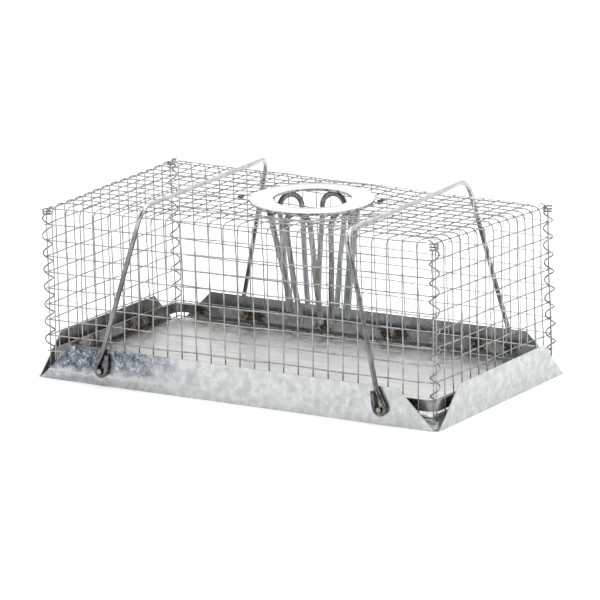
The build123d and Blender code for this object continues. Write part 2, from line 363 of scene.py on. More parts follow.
def add_bump(tree, shader, height, strength, distance):
    """Raises the surface by a height socket."""
    raised = node(tree, "ShaderNodeBump", Strength=strength, Distance=distance)
    tree.links.new(height, raised.inputs["Height"])
    tree.links.new(raised.outputs["Normal"], shader.inputs["Normal"])


def paint(item, material):
    """Gives an object this material in place of its own."""
    item.data.materials.clear()
    item.data.materials.append(material)


def grey(value, warm=0.0):
    """A grey, a little warmer or cooler."""
    return (value * (1 + warm), value, value * (1 - warm))


# ---------------------------------------------------------------- materials

def wire_material(name, dark, light, roughness, warm=0.0, darker_below=None):
    """Zinc-coated wire with small patches and grains of differing tone and shine, darker and warmer below
    a given height.
    """
    material, tree, shader = new_material(name)
    shader.inputs["Metallic"].default_value = 1.0
    vector = place_on(tree)
    patches = noise_on(tree, vector, 160.0)
    grains = noise_on(tree, vector, 900.0, detail=2.0)
    blend = calc(tree, "ADD", calc(tree, "MULTIPLY", patches, 0.7), calc(tree, "MULTIPLY", grains, 0.3))
    color = ramp(tree, blend, [(0.36, grey(dark, warm)), (0.62, grey(light, warm))])
    if darker_below is not None:
        height = axes_of(tree, vector)[2]
        darkening = remap(tree, height, darker_below * 0.5, darker_below, 0.8, 0.0)
        color = mix(tree, darkening, color, grey(dark * 0.6, warm + 0.04))
    tree.links.new(color, shader.inputs["Base Color"])
    rough = remap(tree, blend, 0.3, 0.7, roughness * 1.3, roughness * 0.8)
    tree.links.new(rough, shader.inputs["Roughness"])
    add_bump(tree, shader, blend, 0.25, 0.00025)
    return material


def bail_material():
    """Smooth drawn wire, brown at the eyes, with painted light: a painted highlight along the bar and
    painted shade down the legs.
    """
    material, tree, shader = new_material("bail_zinc")
    shader.inputs["Metallic"].default_value = 1.0
    vector = place_on(tree)
    height = axes_of(tree, vector)[2]
    patches = noise_on(tree, vector, 90.0)
    # painted light: the legs' darker tone is painted shade from the dark they reflect, and the bar's paler
    # tone is a painted highlight from above
    legs = ramp(tree, patches, [(0.36, (0.13, 0.138, 0.142)), (0.62, (0.25, 0.26, 0.265))])
    bar = ramp(tree, patches, [(0.36, (0.42, 0.43, 0.43)), (0.62, (0.58, 0.585, 0.58))])
    color = mix(tree, remap(tree, height, *BAR_SHEEN_Z), legs, bar)
    stain = noise_on(tree, vector, 240.0)
    eye = ramp(tree, stain, [(0.38, (0.07, 0.065, 0.058)), (0.62, (0.20, 0.19, 0.175))])
    color = mix(tree, remap(tree, height, *EYE_TONE_Z), color, eye)
    tree.links.new(color, shader.inputs["Base Color"])
    shader.inputs["Roughness"].default_value = 0.2
    return material


def back_wire_material():
    """The back wall's wires, with painted light: paler toward the right end, where the light behind washes
    them out.
    """
    material, tree, shader = new_material("back_zinc")
    shader.inputs["Metallic"].default_value = 1.0
    vector = place_on(tree)
    patches = noise_on(tree, vector, 160.0)
    dark = ramp(tree, patches, [(0.36, (0.26, 0.28, 0.285)), (0.62, (0.46, 0.485, 0.49))])
    # painted light: the paler blend toward the right end stands for the light behind washing the wires out
    washed_out = ramp(tree, patches, [(0.36, (0.66, 0.71, 0.72)), (0.62, (0.86, 0.91, 0.92))])
    rightward = remap(tree, axes_of(tree, vector)[0], *BACK_WASH_X)
    tree.links.new(mix(tree, rightward, dark, washed_out), shader.inputs["Base Color"])
    shader.inputs["Roughness"].default_value = 0.32
    return material


def funnel_material():
    """Steel wire: grey-brown, bluish at the back, and scorched black and rusty toward the ring."""
    material, tree, shader = new_material("funnel_steel")
    shader.inputs["Metallic"].default_value = 0.9
    vector = place_on(tree)
    height = axes_of(tree, vector)[2]
    streaks = noise_on(tree, place_on(tree, (700.0, 700.0, 40.0)), 1.0, detail=5.0)
    clean = ramp(tree, streaks, [
        (0.32, (0.15, 0.147, 0.140)), (0.5, (0.32, 0.317, 0.307)), (0.7, (0.48, 0.478, 0.465)),
    ])
    bluish = ramp(tree, streaks, [
        (0.32, (0.25, 0.275, 0.285)), (0.5, (0.40, 0.435, 0.45)), (0.7, (0.54, 0.58, 0.59)),
    ])
    backward = remap(tree, axes_of(tree, vector)[1], *FUNNEL_BACK_Y)
    clean = mix(tree, backward, clean, bluish)
    burnt_noise = noise_on(tree, vector, 170.0, detail=5.0)
    edge = calc(tree, "ADD", height, remap(tree, burnt_noise, 0.3, 0.7, -0.010, 0.010))
    scorched = remap(tree, edge, *SCORCH_Z)
    scorched = calc(tree, "MULTIPLY", scorched, remap(tree, backward, 0.0, 1.0, 1.0, 0.6))
    burnt = ramp(tree, noise_on(tree, vector, 330.0, detail=4.0), [
        (0.36, (0.045, 0.042, 0.040)),
        (0.50, (0.13, 0.12, 0.11)),
        (0.62, (0.20, 0.15, 0.11)),
        (0.72, (0.32, 0.19, 0.10)),
    ])
    color = mix(tree, scorched, clean, burnt)
    tree.links.new(color, shader.inputs["Base Color"])
    worn = remap(tree, streaks, 0.3, 0.7, 0.46, 0.32)
    rough = calc(tree, "ADD", worn, calc(tree, "MULTIPLY", scorched, 0.2))
    tree.links.new(rough, shader.inputs["Roughness"])
    add_bump(tree, shader, streaks, 0.5, 0.0003)
    return material


def ring_material():
    """Polished steel on its top face, stained on its edges and underneath."""
    material, tree, shader = new_material("ring_steel")
    shader.inputs["Metallic"].default_value = 1.0
    vector = place_on(tree)
    haze = noise_on(tree, vector, 90.0, detail=3.0)
    clean = ramp(tree, haze, [(0.35, (0.77, 0.785, 0.805)), (0.65, (0.83, 0.84, 0.86))])
    normal = tree.nodes.new("ShaderNodeNewGeometry").outputs["Normal"]
    up = axes_of(tree, normal)[2]
    side = remap(tree, up, 0.75, 0.35)
    stain = noise_on(tree, vector, 260.0, detail=5.0)
    burnt = ramp(tree, stain, [
        (0.34, (0.07, 0.06, 0.05)),
        (0.42, (0.30, 0.27, 0.22)),
        (0.50, (0.50, 0.48, 0.43)),
        (0.70, (0.62, 0.61, 0.57)),
    ])
    color = mix(tree, side, clean, burnt)
    tree.links.new(color, shader.inputs["Base Color"])
    rough = calc(tree, "ADD", remap(tree, haze, 0.3, 0.7, 0.10, 0.18), calc(tree, "MULTIPLY", side, 0.25))
    tree.links.new(rough, shader.inputs["Roughness"])
    return material


# Places of the dark marks on the bottom band, one by one: they don't keep to the wires' spacing
BAND_MARKS = (
    (0.1475, -0.0892, 0.016), (0.1675, -0.0720, 0.016), (0.1679, 0.0150, 0.016),
    (0.1679, 0.0620, 0.016), (0.1330, 0.0892, 0.016), (0.1050, 0.0892, 0.016),
    (0.0360, 0.0892, 0.016), (0.0235, 0.0892, 0.016), (-0.0330, 0.0892, 0.017),
    (-0.0920, 0.0892, 0.016), (-0.1000, 0.0892, 0.016), (-0.1470, 0.0892, 0.016),
    (-0.1679, 0.0485, 0.016), (-0.1679, 0.0326, 0.016), (-0.1679, 0.0170, 0.017),
    (-0.1679, -0.0300, 0.016), (-0.1679, -0.0560, 0.016), (-0.1300, -0.0892, 0.016),
    (-0.0600, -0.0892, 0.016), (0.0150, -0.0892, 0.016), (0.0850, -0.0892, 0.016),
)


def band_material():
    """Steel strip with black and rust-brown marks, each with a paler halo."""
    material, tree, shader = new_material("band_steel")
    shader.inputs["Metallic"].default_value = 0.85
    vector = place_on(tree)
    grain = noise_on(tree, vector, 120.0)
    clean = ramp(tree, grain, [(0.35, (0.20, 0.205, 0.195)), (0.65, (0.42, 0.425, 0.41))])
    halo = spots(tree, vector, BAND_MARKS, 0.0085, 0.004)
    core = spots(tree, vector, BAND_MARKS, 0.0058, 0.004)
    speck = noise_on(tree, vector, 520.0, detail=4.0)
    burnt = ramp(tree, speck, [
        (0.42, (0.015, 0.014, 0.013)), (0.58, (0.06, 0.042, 0.032)), (0.70, (0.28, 0.13, 0.05)),
    ])
    color = mix(tree, calc(tree, "MULTIPLY", halo, 0.7), clean, (0.17, 0.13, 0.09))
    color = mix(tree, calc(tree, "MULTIPLY", core, 0.85), color, burnt)
    tree.links.new(color, shader.inputs["Base Color"])
    rough = calc(tree, "ADD", remap(tree, grain, 0.3, 0.7, 0.34, 0.46), calc(tree, "MULTIPLY", halo, 0.25))
    tree.links.new(rough, shader.inputs["Roughness"])
    add_bump(tree, shader, speck, 0.25, 0.0003)
    return material


def zinc_crystals(tree, vector):
    """The zinc crystals: a tone for each, and fine strokes that run a different way in each."""
    warp = node(tree, "ShaderNodeTexNoise", Scale=210.0, Detail=3.0)
    tree.links.new(vector, warp.inputs["Vector"])
    bent_vector = node(tree, "ShaderNodeVectorMath", operation="MULTIPLY_ADD")
    tree.links.new(warp.outputs["Color"], bent_vector.inputs[0])
    bent_vector.inputs[1].default_value = (0.004, 0.004, 0.004)
    tree.links.new(vector, bent_vector.inputs[2])
    crystal = node(tree, "ShaderNodeTexVoronoi", Scale=230.0)
    tree.links.new(bent_vector.outputs["Vector"], crystal.inputs["Vector"])
    tone, turn, _ = axes_of(tree, crystal.outputs["Color"])
    spin = node(tree, "ShaderNodeVectorRotate")
    spin.rotation_type = "AXIS_ANGLE"
    spin.inputs["Axis"].default_value = (0.62, 0.62, 0.48)
    tree.links.new(calc(tree, "MULTIPLY", turn, 6.0), spin.inputs["Angle"])
    tree.links.new(vector, spin.inputs["Vector"])
    stretch = node(tree, "ShaderNodeMapping")
    stretch.inputs["Scale"].default_value = (1.0, 0.22, 1.0)
    tree.links.new(spin.outputs["Vector"], stretch.inputs["Vector"])
    strokes = noise_on(tree, stretch.outputs["Vector"], 430.0, detail=4.0, roughness=0.65, distortion=0.6)
    return tone, strokes


def front_bloom_and_reflection(tree, axes, cloud, blotch):
    """1 on the dark fern crystals and painted dark reflection of the front flange's outer face, over its
    left third, and 0 elsewhere.
    """
    x, y, z = axes
    outside = remap(tree, y, *FRONT_FACE_Y)
    drifted = calc(tree, "ADD", x, remap(tree, cloud, 0.3, 0.7, -0.025, 0.025))
    leftward = remap(tree, drifted, *BLOOM_AND_REFLECTION_X)
    ragged = calc(tree, "ADD", z, remap(tree, blotch, 0.3, 0.7, -0.003, 0.003))
    upper = remap(tree, ragged, *BLOOM_AND_REFLECTION_UPPER_Z)
    lower = remap(tree, z, *BLOOM_AND_REFLECTION_LOWER_Z, 0.45, 0.0)
    band = calc(tree, "MAXIMUM", upper, lower)
    return calc(tree, "MULTIPLY", calc(tree, "MULTIPLY", outside, leftward), band)


def sheet_masks(tree, x, y):
    """Two masks: within the flanges, and beyond the edge of the raised floor."""
    inside_x = calc(tree, "LESS_THAN", absolute(tree, x), FLANGE_INSIDE_X)
    inside_y = calc(tree, "LESS_THAN", absolute(tree, y), FLANGE_INSIDE_Y)
    inside = calc(tree, "MULTIPLY", inside_x, inside_y)
    off_panel_x = remap(tree, absolute(tree, x), *PANEL_EDGE_X)
    off_panel_y = remap(tree, absolute(tree, y), *PANEL_EDGE_Y)
    return inside, calc(tree, "MAXIMUM", off_panel_x, off_panel_y)


def sheet_relief(tree, tone, strokes, cloud, z, inside):
    """The sheet's relief: crystals, a crease low on the outside of the flanges and broad waves."""
    above = absolute(tree, calc(tree, "SUBTRACT", z, CREASE_Z))
    crease = remap(tree, above, 0.0, CREASE_HALF_WIDTH, 0.8, 0.0)
    relief = calc(tree, "ADD", calc(tree, "MULTIPLY", tone, 0.25), calc(tree, "MULTIPLY", strokes, 0.30))
    relief = calc(tree, "ADD", relief, calc(tree, "MULTIPLY", crease, calc(tree, "SUBTRACT", 1.0, inside)))
    return calc(tree, "ADD", relief, calc(tree, "MULTIPLY", cloud, 0.5))


def sheet_material():
    """Galvanised sheet: feathered zinc crystals, a painted dark reflection on the front flange, rougher
    with painted shade within the flanges, worn on the raised floor.
    """
    material, tree, shader = new_material("galvanised_sheet")
    shader.inputs["Metallic"].default_value = 1.0
    vector = place_on(tree)
    x, y, z = axes_of(tree, vector)
    tone, strokes = zinc_crystals(tree, vector)
    cloud = noise_on(tree, vector, 26.0, detail=4.0)
    blotch = noise_on(tree, vector, 150.0, detail=5.0, roughness=0.65)
    clean = ramp(tree, blotch, [(0.38, (0.47, 0.488, 0.49)), (0.60, (0.60, 0.617, 0.617))])
    clean = mix(tree, remap(tree, strokes, 0.50, 0.60, 0.0, 0.32), clean, (0.42, 0.45, 0.475))
    clean = mix(tree, remap(tree, tone, 0.50, 0.95, 0.0, 0.32), clean, (0.40, 0.425, 0.44))
    clean = mix(tree, remap(tree, cloud, 0.50, 0.75, 0.0, 0.14), clean, (0.76, 0.78, 0.80))

    # the front flange: its own dark fern crystals, with painted reflection darkening its left third
    bloom_and_reflection = front_bloom_and_reflection(tree, (x, y, z), cloud, blotch)
    frost = calc(tree, "ADD", calc(tree, "MULTIPLY", strokes, 0.7), calc(tree, "MULTIPLY", blotch, 0.3))
    ferns = ramp(tree, frost, [
        (0.40, (0.05, 0.06, 0.075)),
        (0.50, (0.13, 0.15, 0.18)),
        (0.57, (0.30, 0.33, 0.37)),
        (0.66, (0.66, 0.69, 0.73)),
    ])
    clean = mix(tree, bloom_and_reflection, clean, ferns)

    # inside faces off the raised floor: a little rougher and painted darker as painted shade, darkest on
    # the left end
    inside, off_panel = sheet_masks(tree, x, y)
    rim = calc(tree, "MULTIPLY", inside, off_panel)
    leftness = remap(tree, x, *LEFT_SLOPE_X)
    darkening = calc(tree, "MULTIPLY", rim, remap(tree, leftness, 0.0, 1.0, 0.45, 0.85))
    painted_shade = ramp(tree, noise_on(tree, vector, 75.0, detail=6.0), [
        (0.34, (0.10, 0.105, 0.10)), (0.52, (0.24, 0.25, 0.245)), (0.68, (0.40, 0.41, 0.40)),
    ])
    color = mix(tree, darkening, clean, painted_shade)

    # the raised floor: worn, slightly warm
    floor_face = remap(tree, z, *FLOOR_FACE_Z)
    panel = calc(tree, "MULTIPLY", floor_face, remap(tree, off_panel, 0.0, 1.0, 1.0, 0.0))
    scuffs = noise_on(tree, place_on(tree, (40.0, 160.0, 40.0)), 1.0, detail=6.0)
    worn = ramp(tree, scuffs, [(0.35, (0.60, 0.595, 0.575)), (0.65, (0.75, 0.745, 0.725))])
    color = mix(tree, panel, color, worn)
    tree.links.new(color, shader.inputs["Base Color"])

    rough = calc(tree, "ADD", remap(tree, tone, 0.0, 1.0, 0.30, 0.42), calc(tree, "MULTIPLY", darkening, 0.12))
    tree.links.new(rough, shader.inputs["Roughness"])
    add_bump(tree, shader, sheet_relief(tree, tone, strokes, cloud, z, inside), 0.2, 0.0005)
    return material


# ---------------------------------------------------------------- bending by hand

def ease(value):
    """0 to 1, smoothly."""
    value = min(1.0, max(0.0, value))
    return value * value * (3 - 2 * value)


def racked(point):
    """The cage is out of square: its roof is skewed and two corners sit low."""
    along = point.x / OUTER_X
    across = point.y / OUTER_Y
    share = point.z / OUTER_Z
    lift = -0.00145 + 0.00075 * along - 0.0008 * across - 0.003 * along * across
    slide = -0.0016 * (1 + across)
    offset = point - RING_CENTER
    behind = -sin(VIEW_AZIMUTH) * offset.x + cos(VIEW_AZIMUTH) * offset.y
    away = sqrt(offset.x ** 2 + offset.y ** 2)
    near_ring = ease((0.080 - away) / 0.030)
    lift += near_ring * (-RING_DROP + sin(RING_TILT) * behind - lift)
    slide *= 1 - near_ring
    return Vector((point.x + share * slide, point.y, point.z + share * lift))


def jiggled(point):
    """Small waves in the wires, the same where two wires cross."""
    offset = point - RING_CENTER
    away = sqrt(offset.x ** 2 + offset.y ** 2 + offset.z ** 2)
    strength = ease((point.z - 0.004) / 0.030) * (0.3 + 0.7 * ease((away - 0.040) / 0.030))
    broad = noise.noise_vector(point / 0.055)
    fine = noise.noise_vector(point / 0.019 + Vector((7.0, 3.0, 5.0)))
    return point + strength * (0.0008 * broad + 0.00030 * fine)


def bent(point):
    """Where a point of the straight cage really is."""
    return racked(jiggled(Vector(point)))


def tilted(point):
    """Where a point of the ring or funnel is: the ring rests aslant on the uneven roof."""
    axis = Vector((cos(VIEW_AZIMUTH), sin(VIEW_AZIMUTH), 0.0))
    turned = Matrix.Rotation(RING_TILT, 3, axis) @ (Vector(point) - RING_CENTER)
    return turned + RING_CENTER - Vector((0.0, 0.0, RING_DROP))


# ---------------------------------------------------------------- wire building

class Wires:
    """Collects round wires and weld blobs, and turns them into one mesh object."""

    def __init__(self, name, sides=8):
        self.name = name
        self.sides = sides
        self.points = []
        self.faces = []

    def add(self, path, diameter):
        """One wire along a list of points, closed at both ends."""
        path = [Vector(point) for point in path]
        tangents = [path[1] - path[0]]
        tangents += [path[index + 1] - path[index - 1] for index in range(1, len(path) - 1)]
        tangents.append(path[-1] - path[-2])
        tangents = [tangent.normalized() for tangent in tangents]
        normal = tangents[0].orthogonal().normalized()
        first = len(self.points)
        for index, (point, tangent) in enumerate(zip(path, tangents)):
            if index:
                normal = tangents[index - 1].rotation_difference(tangent) @ normal
            other = tangent.cross(normal)
            for step in range(self.sides):
                angle = 2 * pi * step / self.sides
                self.points.append(point + diameter / 2 * (cos(angle) * normal + sin(angle) * other))
        for ring in range(len(path) - 1):
            start = first + ring * self.sides
            for step in range(self.sides):
                after = (step + 1) % self.sides
                above = start + self.sides
                self.faces.append((start + step, start + after, above + after, above + step))
        self.faces.append(tuple(first + self.sides - 1 - step for step in range(self.sides)))
        last = first + (len(path) - 1) * self.sides
        self.faces.append(tuple(last + step for step in range(self.sides)))

    def add_weld(self, center, radius):
        """A small blob of metal where two wires cross."""
        first = len(self.points)
        rings, sides = WELD_RINGS, WELD_SIDES
        self.points.append(center + Vector((0, 0, radius)))
        for ring in range(1, rings + 1):
            tilt = pi * ring / (rings + 1)
            for step in range(sides):
                angle = 2 * pi * step / sides
                spoke = Vector((cos(angle) * sin(tilt), sin(angle) * sin(tilt), cos(tilt)))
                self.points.append(center + radius * spoke)
        bottom = len(self.points)
        self.points.append(center - Vector((0, 0, radius)))
        for step in range(sides):
            after = (step + 1) % sides
            self.faces.append((first, first + 1 + step, first + 1 + after))
            for ring in range(rings - 1):
                start = first + 1 + ring * sides
                below = start + sides
                self.faces.append((start + step, below + step, below + after, start + after))
            last = first + 1 + (rings - 1) * sides
            self.faces.append((bottom, last + after, last + step))

    def finish(self, material, slot, body, *replaced):
        """The finished object, riding on its body in place of the CAD nodes."""
        mesh = bpy.data.meshes.new(self.name)
        mesh.from_pydata(self.points, [], self.faces)
        mesh.polygons.foreach_set("use_smooth", [len(face.vertices) <= 4 for face in mesh.polygons])
        mesh.materials.append(material)
        mesh.update()
        item = bpy.data.objects.new(self.name, mesh)
        bpy.context.scene.collection.objects.link(item)
        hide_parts(*replaced)
        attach(item, body)
        return item


def line(start, end, step=WIRE_STEP):
    """Evenly spaced points from start to end."""
    start = Vector(start)
    end = Vector(end)
    count = max(2, round((end - start).length / step))
    return [start.lerp(end, index / count) for index in range(count + 1)]


def quarter(start, corner, end, step=ARC_STEP):
    """Points on a quarter circle from start to end, bulging toward corner; start is left out."""
    start, corner, end = Vector(start), Vector(corner), Vector(end)
    center = start + end - corner
    count = max(4, round((start - center).length * pi / 2 / step))
    points = []
    for index in range(1, count + 1):
        angle = pi / 2 * index / count
        points.append(center + cos(angle) * (start - center) + sin(angle) * (end - center))
    return points


def easy_curve(start, start_aim, end, end_aim, count=8):
    """Points on a smooth curve that leaves start and reaches end in the given directions."""
    start, end = Vector(start), Vector(end)
    reach = (end - start).length
    first, last = Vector(start_aim) * reach, Vector(end_aim) * reach
    points = []
    for index in range(1, count + 1):
        t = index / count
        start_share = 2 * t ** 3 - 3 * t ** 2 + 1
        first_share = t ** 3 - 2 * t ** 2 + t
        end_share = 3 * t ** 2 - 2 * t ** 3
        last_share = t ** 3 - t ** 2
        points.append(start_share * start + first_share * first + end_share * end + last_share * last)
    return points


def cross_positions():
    """X of each wire that runs across the cage, from the right end."""
    return [FIRST_CROSS_X - CELL * index for index in range(CROSS_WIRE_COUNT)]


def long_positions():
    """Y of each wire that runs along the cage."""
    return [CELL * (index - (LONG_WIRE_COUNT - 1) / 2) for index in range(LONG_WIRE_COUNT)]


def row_heights():
    """Z of the level wires on the walls."""
    return [FIRST_ROW_Z + CELL * index for index in range(ROW_COUNT)]


def spans_around_hole(offset, center, reach):
    """The stretches of a roof wire on each side of the hole under the ring."""
    if abs(offset) >= MESH_CUT_RADIUS:
        return [(-reach, reach)]
    half = sqrt(MESH_CUT_RADIUS ** 2 - offset ** 2)
    return [(-reach, center - half), (center + half, reach)]


def add_mesh_wire(wires, path):
    """One wire of the cage, bent as the cage is."""
    wires.add([bent(point) for point in path], MESH_WIRE)


# ---------------------------------------------------------------- the cage

def build_top_mesh(material):
    """The roof, with its wires cut away under the ring."""
    wires = Wires("roof_wires")
    for y in long_positions()[1:-1]:
        for start, end in spans_around_hole(y - RING_CENTER.y, RING_CENTER.x, FLAT_X):
            add_mesh_wire(wires, line((start, y, OUTER_Z), (end, y, OUTER_Z)))
    for x in cross_positions()[1:]:
        for start, end in spans_around_hole(x - RING_CENTER.x, RING_CENTER.y, FLAT_Y):
            add_mesh_wire(wires, line((x, start, INNER_Z), (x, end, INNER_Z)))
    for x in cross_positions()[1:]:
        for y in long_positions()[1:-1]:
            if (Vector((x, y)) - RING_CENTER.xy).length > MESH_CUT_RADIUS:
                wires.add_weld(bent((x, y, OUTER_Z - LAYER_STEP / 2)), WELD_RADIUS)
    wires.finish(material, "mesh_wire", BODY, "top_mesh")


def build_side_mesh(name, node_name, side, material):
    """A long wall: uprights that bend over from the roof, and level wires outside them."""
    wires = Wires(name)
    uprights = cross_positions()
    for index, x in enumerate(uprights):
        foot = (x, side * INNER_Y, SIDE_FOOT_Z)
        bend = (x, side * INNER_Y, BEND_Z)
        path = line(foot, bend)
        if index:
            path += quarter(bend, (x, side * INNER_Y, INNER_Z), (x, side * FLAT_Y, INNER_Z))
        add_mesh_wire(wires, path)
    for z in row_heights():
        left = (-SIDE_ROW_REACH, side * OUTER_Y, z)
        right = (SIDE_ROW_REACH, side * OUTER_Y, z)
        add_mesh_wire(wires, line(left, right))
    edge = OUTER_BEND * cos(pi / 4)
    edge_y = side * (FLAT_Y + edge)
    edge_z = BEND_Z + edge
    add_mesh_wire(wires, line((-EDGE_WIRE_REACH_X, edge_y, edge_z), (EDGE_WIRE_REACH_X, edge_y, edge_z)))
    for x in uprights:
        for z in row_heights():
            wires.add_weld(bent((x, side * (OUTER_Y - LAYER_STEP / 2), z)), WELD_RADIUS)
    wires.finish(material, "mesh_wire", BODY, node_name)


def build_end_mesh(name, node_name, side, material):
    """An end wall: uprights that bend over from the roof, and level wires inside them."""
    wires = Wires(name)
    for y in long_positions():
        foot = (side * OUTER_X, y, END_FOOT_Z)
        bend = (side * OUTER_X, y, BEND_Z)
        path = line(foot, bend) + quarter(bend, (side * OUTER_X, y, OUTER_Z), (side * FLAT_X, y, OUTER_Z))
        add_mesh_wire(wires, path)
    for z in row_heights():
        front = (side * INNER_X, -END_ROW_REACH, z)
        back = (side * INNER_X, END_ROW_REACH, z)
        add_mesh_wire(wires, line(front, back))
    edge = INNER_BEND * cos(pi / 4)
    edge_x = side * (FLAT_X + edge)
    edge_z = BEND_Z + edge
    add_mesh_wire(wires, line((edge_x, -EDGE_WIRE_REACH_Y, edge_z), (edge_x, EDGE_WIRE_REACH_Y, edge_z)))
    for y in long_positions():
        for z in row_heights():
            wires.add_weld(bent((side * (OUTER_X - LAYER_STEP / 2), y, z)), WELD_RADIUS)
    wires.finish(material, "mesh_wire", BODY, node_name)


def build_lacing(name, node_name, x_side, y_side, lobe_angle, lobe_z, material):
    """A spiral wire up one corner, ending in a tight collar of turns at the top."""
    wires = Wires(name)
    hand = -x_side * y_side
    path = []
    z = LACING_BOTTOM
    angle = radians(lobe_angle) + hand * 2 * pi * (z - lobe_z) / LACING_PITCH
    while z < COLLAR_TOP:
        pitch = LACING_PITCH if z < LACING_TOP else COLLAR_PITCH
        wobble = noise.noise(Vector((x_side * 3.0, y_side * 3.0, z / WOBBLE_LENGTH)))
        radius = LACING_RADIUS * (1 + RADIUS_WOBBLE * wobble)
        if z >= LACING_TOP:
            radius *= COLLAR_SHARE
        x = x_side * LACING_X + radius * cos(angle)
        y = y_side * LACING_Y + radius * sin(angle)
        path.append(racked(Vector((x, y, z))))
        angle += hand * 2 * pi / POINTS_PER_TURN
        z += pitch / POINTS_PER_TURN * (1 + PITCH_WOBBLE * wobble)
    wires.add(path, LACING_WIRE)
    wires.finish(material, "lacing_wire", BODY, node_name)


# ---------------------------------------------------------------- ring, funnel, ties

def build_ring(material):
    """The flat ring, with softened edges."""
    soft = RING_EDGE
    inner, outer, top = RING_HOLE_RADIUS, RING_OUTER_RADIUS, RING_THICKNESS
    profile = [
        (inner, 0.0), (outer, 0.0), (outer, top - soft),
        (outer - 0.3 * soft, top - 0.3 * soft), (outer - soft, top),
        (inner + soft, top), (inner + 0.3 * soft, top - 0.3 * soft), (inner, top - soft),
    ]
    count = RING_SEGMENTS
    points, faces = [], []
    for step in range(count):
        angle = 2 * pi * step / count
        for radius, height in profile:
            offset = Vector((radius * cos(angle), radius * sin(angle), height))
            points.append(tilted(RING_CENTER + offset))
    size = len(profile)
    for step in range(count):
        after = (step + 1) % count
        for index in range(size):
            beside = (index + 1) % size
            faces.append((
                step * size + index, after * size + index,
                after * size + beside, step * size + beside,
            ))
    mesh = bpy.data.meshes.new("polished_ring")
    mesh.from_pydata(points, [], faces)
    mesh.polygons.foreach_set("use_smooth", [True] * len(faces))
    mesh.set_sharp_from_angle(angle=radians(40))
    mesh.materials.append(material)
    ring = bpy.data.objects.new("polished_ring", mesh)
    bpy.context.scene.collection.objects.link(ring)
    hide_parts("entry_ring")
    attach(ring, BODY)


def hairpin(length):
    """An upright hairpin in the plane y = 0, with the top of its arch at the origin."""
    rise = length - LOOP_ARCH_RADIUS
    tangent = asin(LOOP_ARCH_RADIUS / sqrt(LOOP_FOOT_HALF_GAP ** 2 + rise ** 2))
    spread = tangent - atan2(LOOP_FOOT_HALF_GAP, rise)
    arch = []
    for step in range(ARCH_STEPS + 1):
        angle = -spread + (pi + 2 * spread) * step / ARCH_STEPS
        arch.append(Vector((-LOOP_ARCH_RADIUS * cos(angle), 0.0, LOOP_ARCH_RADIUS * (sin(angle) - 1))))
    left_leg = line((-LOOP_FOOT_HALF_GAP, 0.0, -length), arch[0])[:-1]
    right_leg = line(arch[-1], (LOOP_FOOT_HALF_GAP, 0.0, -length))[1:]
    return left_leg + arch + right_leg


def build_loop(index, angle_deg, foot_radius, material):
    """One hairpin of the funnel: an arch under the ring and two legs that close in below."""
    top_z = RING_CENTER.z - LOOP_WIRE / 2
    drop = top_z - LOOP_FOOT_Z
    drift = radians(FUNNEL_DRIFT_ANGLE - angle_deg)
    twist = radians(FUNNEL_TWIST)
    inward = LOOP_TOP_RADIUS - foot_radius * cos(twist) - FUNNEL_DRIFT * cos(drift)
    sideways = foot_radius * sin(twist) + FUNNEL_DRIFT * sin(drift)
    length = sqrt(drop ** 2 + inward ** 2)
    sway_turn = Matrix.Rotation(-asin(sideways / length), 3, "Y")
    lean_turn = Matrix.Rotation(asin(inward / length), 3, "X")
    spin = Matrix.Rotation(radians(angle_deg + 90), 3, "Z")
    arch_center = Vector((0.0, 0.0, -LOOP_ARCH_RADIUS))
    path = []
    for point in hairpin(length):
        swayed = sway_turn @ (point - arch_center) + arch_center
        leaned = lean_turn @ swayed + Vector((0.0, -LOOP_TOP_RADIUS, top_z))
        placed = spin @ leaned + Vector((RING_CENTER.x, RING_CENTER.y, 0.0))
        kink = noise.noise_vector(placed / 0.030 + Vector((index * 9.0, 0.0, 0.0)))
        share = ease((top_z - 0.010 - placed.z) / 0.030)
        path.append(tilted(placed + LOOP_KINK * share * kink))
    wires = Wires(f"funnel_wire_{index}", sides=THICK_WIRE_SIDES)
    wires.add(path, LOOP_WIRE)
    wires.finish(material, "funnel_wire", BODY, f"funnel_loop_{index}")


def build_ties(material):
    """Two small coils of thin dark wire on the roof beside the ring."""
    wires = Wires("wire_knots")
    for x, y in TIE_PLACES:
        middle = Vector((x, y, INNER_Z))
        length = TIE_PITCH * TIE_TURNS
        steps = int(POINTS_PER_TURN * TIE_TURNS)
        path = []
        for step in range(steps + 1):
            angle = 2 * pi * step / POINTS_PER_TURN
            along = length * (0.5 - step / steps)
            path.append(bent(middle + Vector((TIE_RADIUS * cos(angle), along, TIE_RADIUS * sin(angle)))))
        wires.add(path, TIE_WIRE)
    wires.finish(material, "tie_wire", BODY, "ring_ties")


# ---------------------------------------------------------------- bails

def bail_lean():
    """How far a leg leans inward when the bar lies over the roof."""
    radius = sqrt(BAIL_REACH ** 2 + BAIL_LEG_OFFSET ** 2)
    bar_drop = sqrt(radius ** 2 - (BAR_Z - STUD_Z) ** 2)
    return atan2(bar_drop, BAR_Z - STUD_Z) + atan2(BAIL_LEG_OFFSET, BAIL_REACH)


